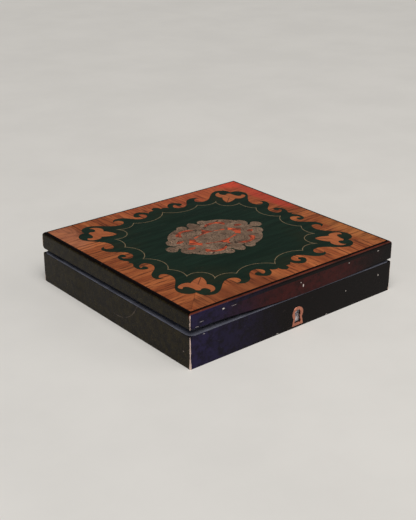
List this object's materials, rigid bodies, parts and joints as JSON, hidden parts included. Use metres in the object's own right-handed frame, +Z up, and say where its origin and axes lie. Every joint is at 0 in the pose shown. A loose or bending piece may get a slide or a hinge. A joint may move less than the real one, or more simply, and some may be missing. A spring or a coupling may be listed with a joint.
{
  "type": "wind up music box",
  "caption": "Low rectangular cylinder music box with a hinged marquetry lid, keyhole, wing winding key, pinned cylinder, comb and fly governor.",
  "frame": {"origin": "middle of the underside", "axes": "+Z up, -Y is the front with the keyhole, +Y the hinged back, X along the front"},
  "size_m": [0.29, 0.272, 0.0606],
  "materials": {
    "blued_steel": "blued",
    "brass": "aged lacquer",
    "carcass_wood": "plain oiled",
    "copper_trim": "worn",
    "dark_veneer": "french polish",
    "ebonised_wood": "worn french polish",
    "glass": "clear",
    "inlay_brass": "tarnished, engraved",
    "lining_paper": "matt",
    "red_shell": "polished",
    "rim_paper": "matt slate grey",
    "rosewood": "french polish",
    "steel": "ground",
    "stringing_metal": "tarnished",
    "velvet": "short pile"
  },
  "bodies": {
    "case": {"bottom_board": "carcass_wood", "front_wall": "ebonised_wood", "back_wall": "ebonised_wood", "left_wall": "ebonised_wood", "right_wall": "ebonised_wood", "rim_liner": "rim_paper", "partitions": "carcass_wood", "cushion": "velvet", "glass_frame": "ebonised_wood", "glass_pane": "glass", "escutcheon": "copper_trim", "lock_case": "steel", "base_hinge_leaves": "brass", "base_screws": "steel", "hinge_pins": "brass", "bedplate": "brass", "bed_feet": "brass", "movement_screws": "blued_steel", "left_bridge": "brass", "cylinder_bridges": "brass", "end_plate": "brass", "comb": "steel", "comb_base": "brass", "governor_cock": "brass", "pivot_posts": "steel", "click_spring": "blued_steel"},
    "lid": {"lid_front_rail": "ebonised_wood", "lid_back_rail": "ebonised_wood", "lid_left_rail": "ebonised_wood", "lid_right_rail": "ebonised_wood", "lid_moulding": "ebonised_wood", "lid_panel": "carcass_wood", "lid_lining": "lining_paper", "link_plate": "steel", "lid_screws": "steel", "lid_hinge_leaves": "brass", "rosewood_veneer": "rosewood", "dark_panel": "dark_veneer", "fleur_inlays": "rosewood", "stringing": "stringing_metal", "cartouche_brass": "inlay_brass", "cartouche_shell": "red_shell"},
    "cylinder": {"cylinder_tube": "brass", "cylinder_caps": "brass", "cylinder_arbor": "steel", "cylinder_pins": "steel", "cylinder_wheel": "brass"},
    "barrel": {"spring_barrel": "brass", "barrel_cap": "brass", "mainspring": "blued_steel"},
    "winding": {"winding_arbor": "steel", "ratchet_wheel": "steel", "winding_key": "brass"},
    "click": {"click": "blued_steel"},
    "governor_wheel": {"governor_arbor": "steel", "worm_wheel": "brass"},
    "fly": {"endless_screw": "steel", "fly": "brass"},
    "stop_lever": {"stop_lever": "brass"},
    "lock_bolt": {"lock_bolt": "brass"}
  },
  "joints": [
    {"name": "lid_hinge", "type": "hinge", "parent": "case", "child": "lid", "pos_m": [0, 0.1334, 0.0389], "axis": [-1, 0, 0], "range_deg": [0, 105]},
    {"name": "fly_spin", "type": "hinge", "parent": "case", "child": "fly", "pos_m": [0.0568, 0.09175, 0.0215], "axis": [0, 0, 1], "continuous": true},
    {"name": "governor_spin", "type": "hinge", "parent": "case", "child": "governor_wheel", "pos_m": [0.0568, 0.08425, 0.0215], "axis": [1, 0, 0], "continuous": true},
    {"name": "cylinder_spin", "type": "hinge", "parent": "case", "child": "cylinder", "pos_m": [0, 0.07105, 0.0215], "axis": [1, 0, 0], "continuous": true},
    {"name": "barrel_spin", "type": "hinge", "parent": "case", "child": "barrel", "pos_m": [-0.073, 0.08545, 0.0215], "axis": [1, 0, 0], "continuous": true},
    {"name": "key_winding", "type": "hinge", "parent": "case", "child": "winding", "pos_m": [-0.082, 0.08545, 0.0215], "axis": [1, 0, 0], "continuous": true},
    {"name": "click_lift", "type": "hinge", "parent": "case", "child": "click", "pos_m": [-0.082, 0.09495, 0.0289], "axis": [-1, 0, 0], "range_deg": [0, 12], "stiffness_Nm_per_rad": 0.002, "deforming": ["click_spring"]},
    {"name": "lever_swing", "type": "hinge", "parent": "case", "child": "stop_lever", "pos_m": [0.0706, 0.09675, 0.0297], "axis": [0, 0, 1], "range_deg": [-5, 5]},
    {"name": "bolt_slide", "type": "slide", "parent": "case", "child": "lock_bolt", "axis": [1, 0, 0], "range_m": [0, 0.005]}
  ],
  "couplings": [
    {"joint": "fly_spin", "follows": "cylinder_spin", "ratio": 224},
    {"joint": "governor_spin", "follows": "cylinder_spin", "ratio": -5.6},
    {"joint": "barrel_spin", "follows": "cylinder_spin", "ratio": -0.2}
  ]
}
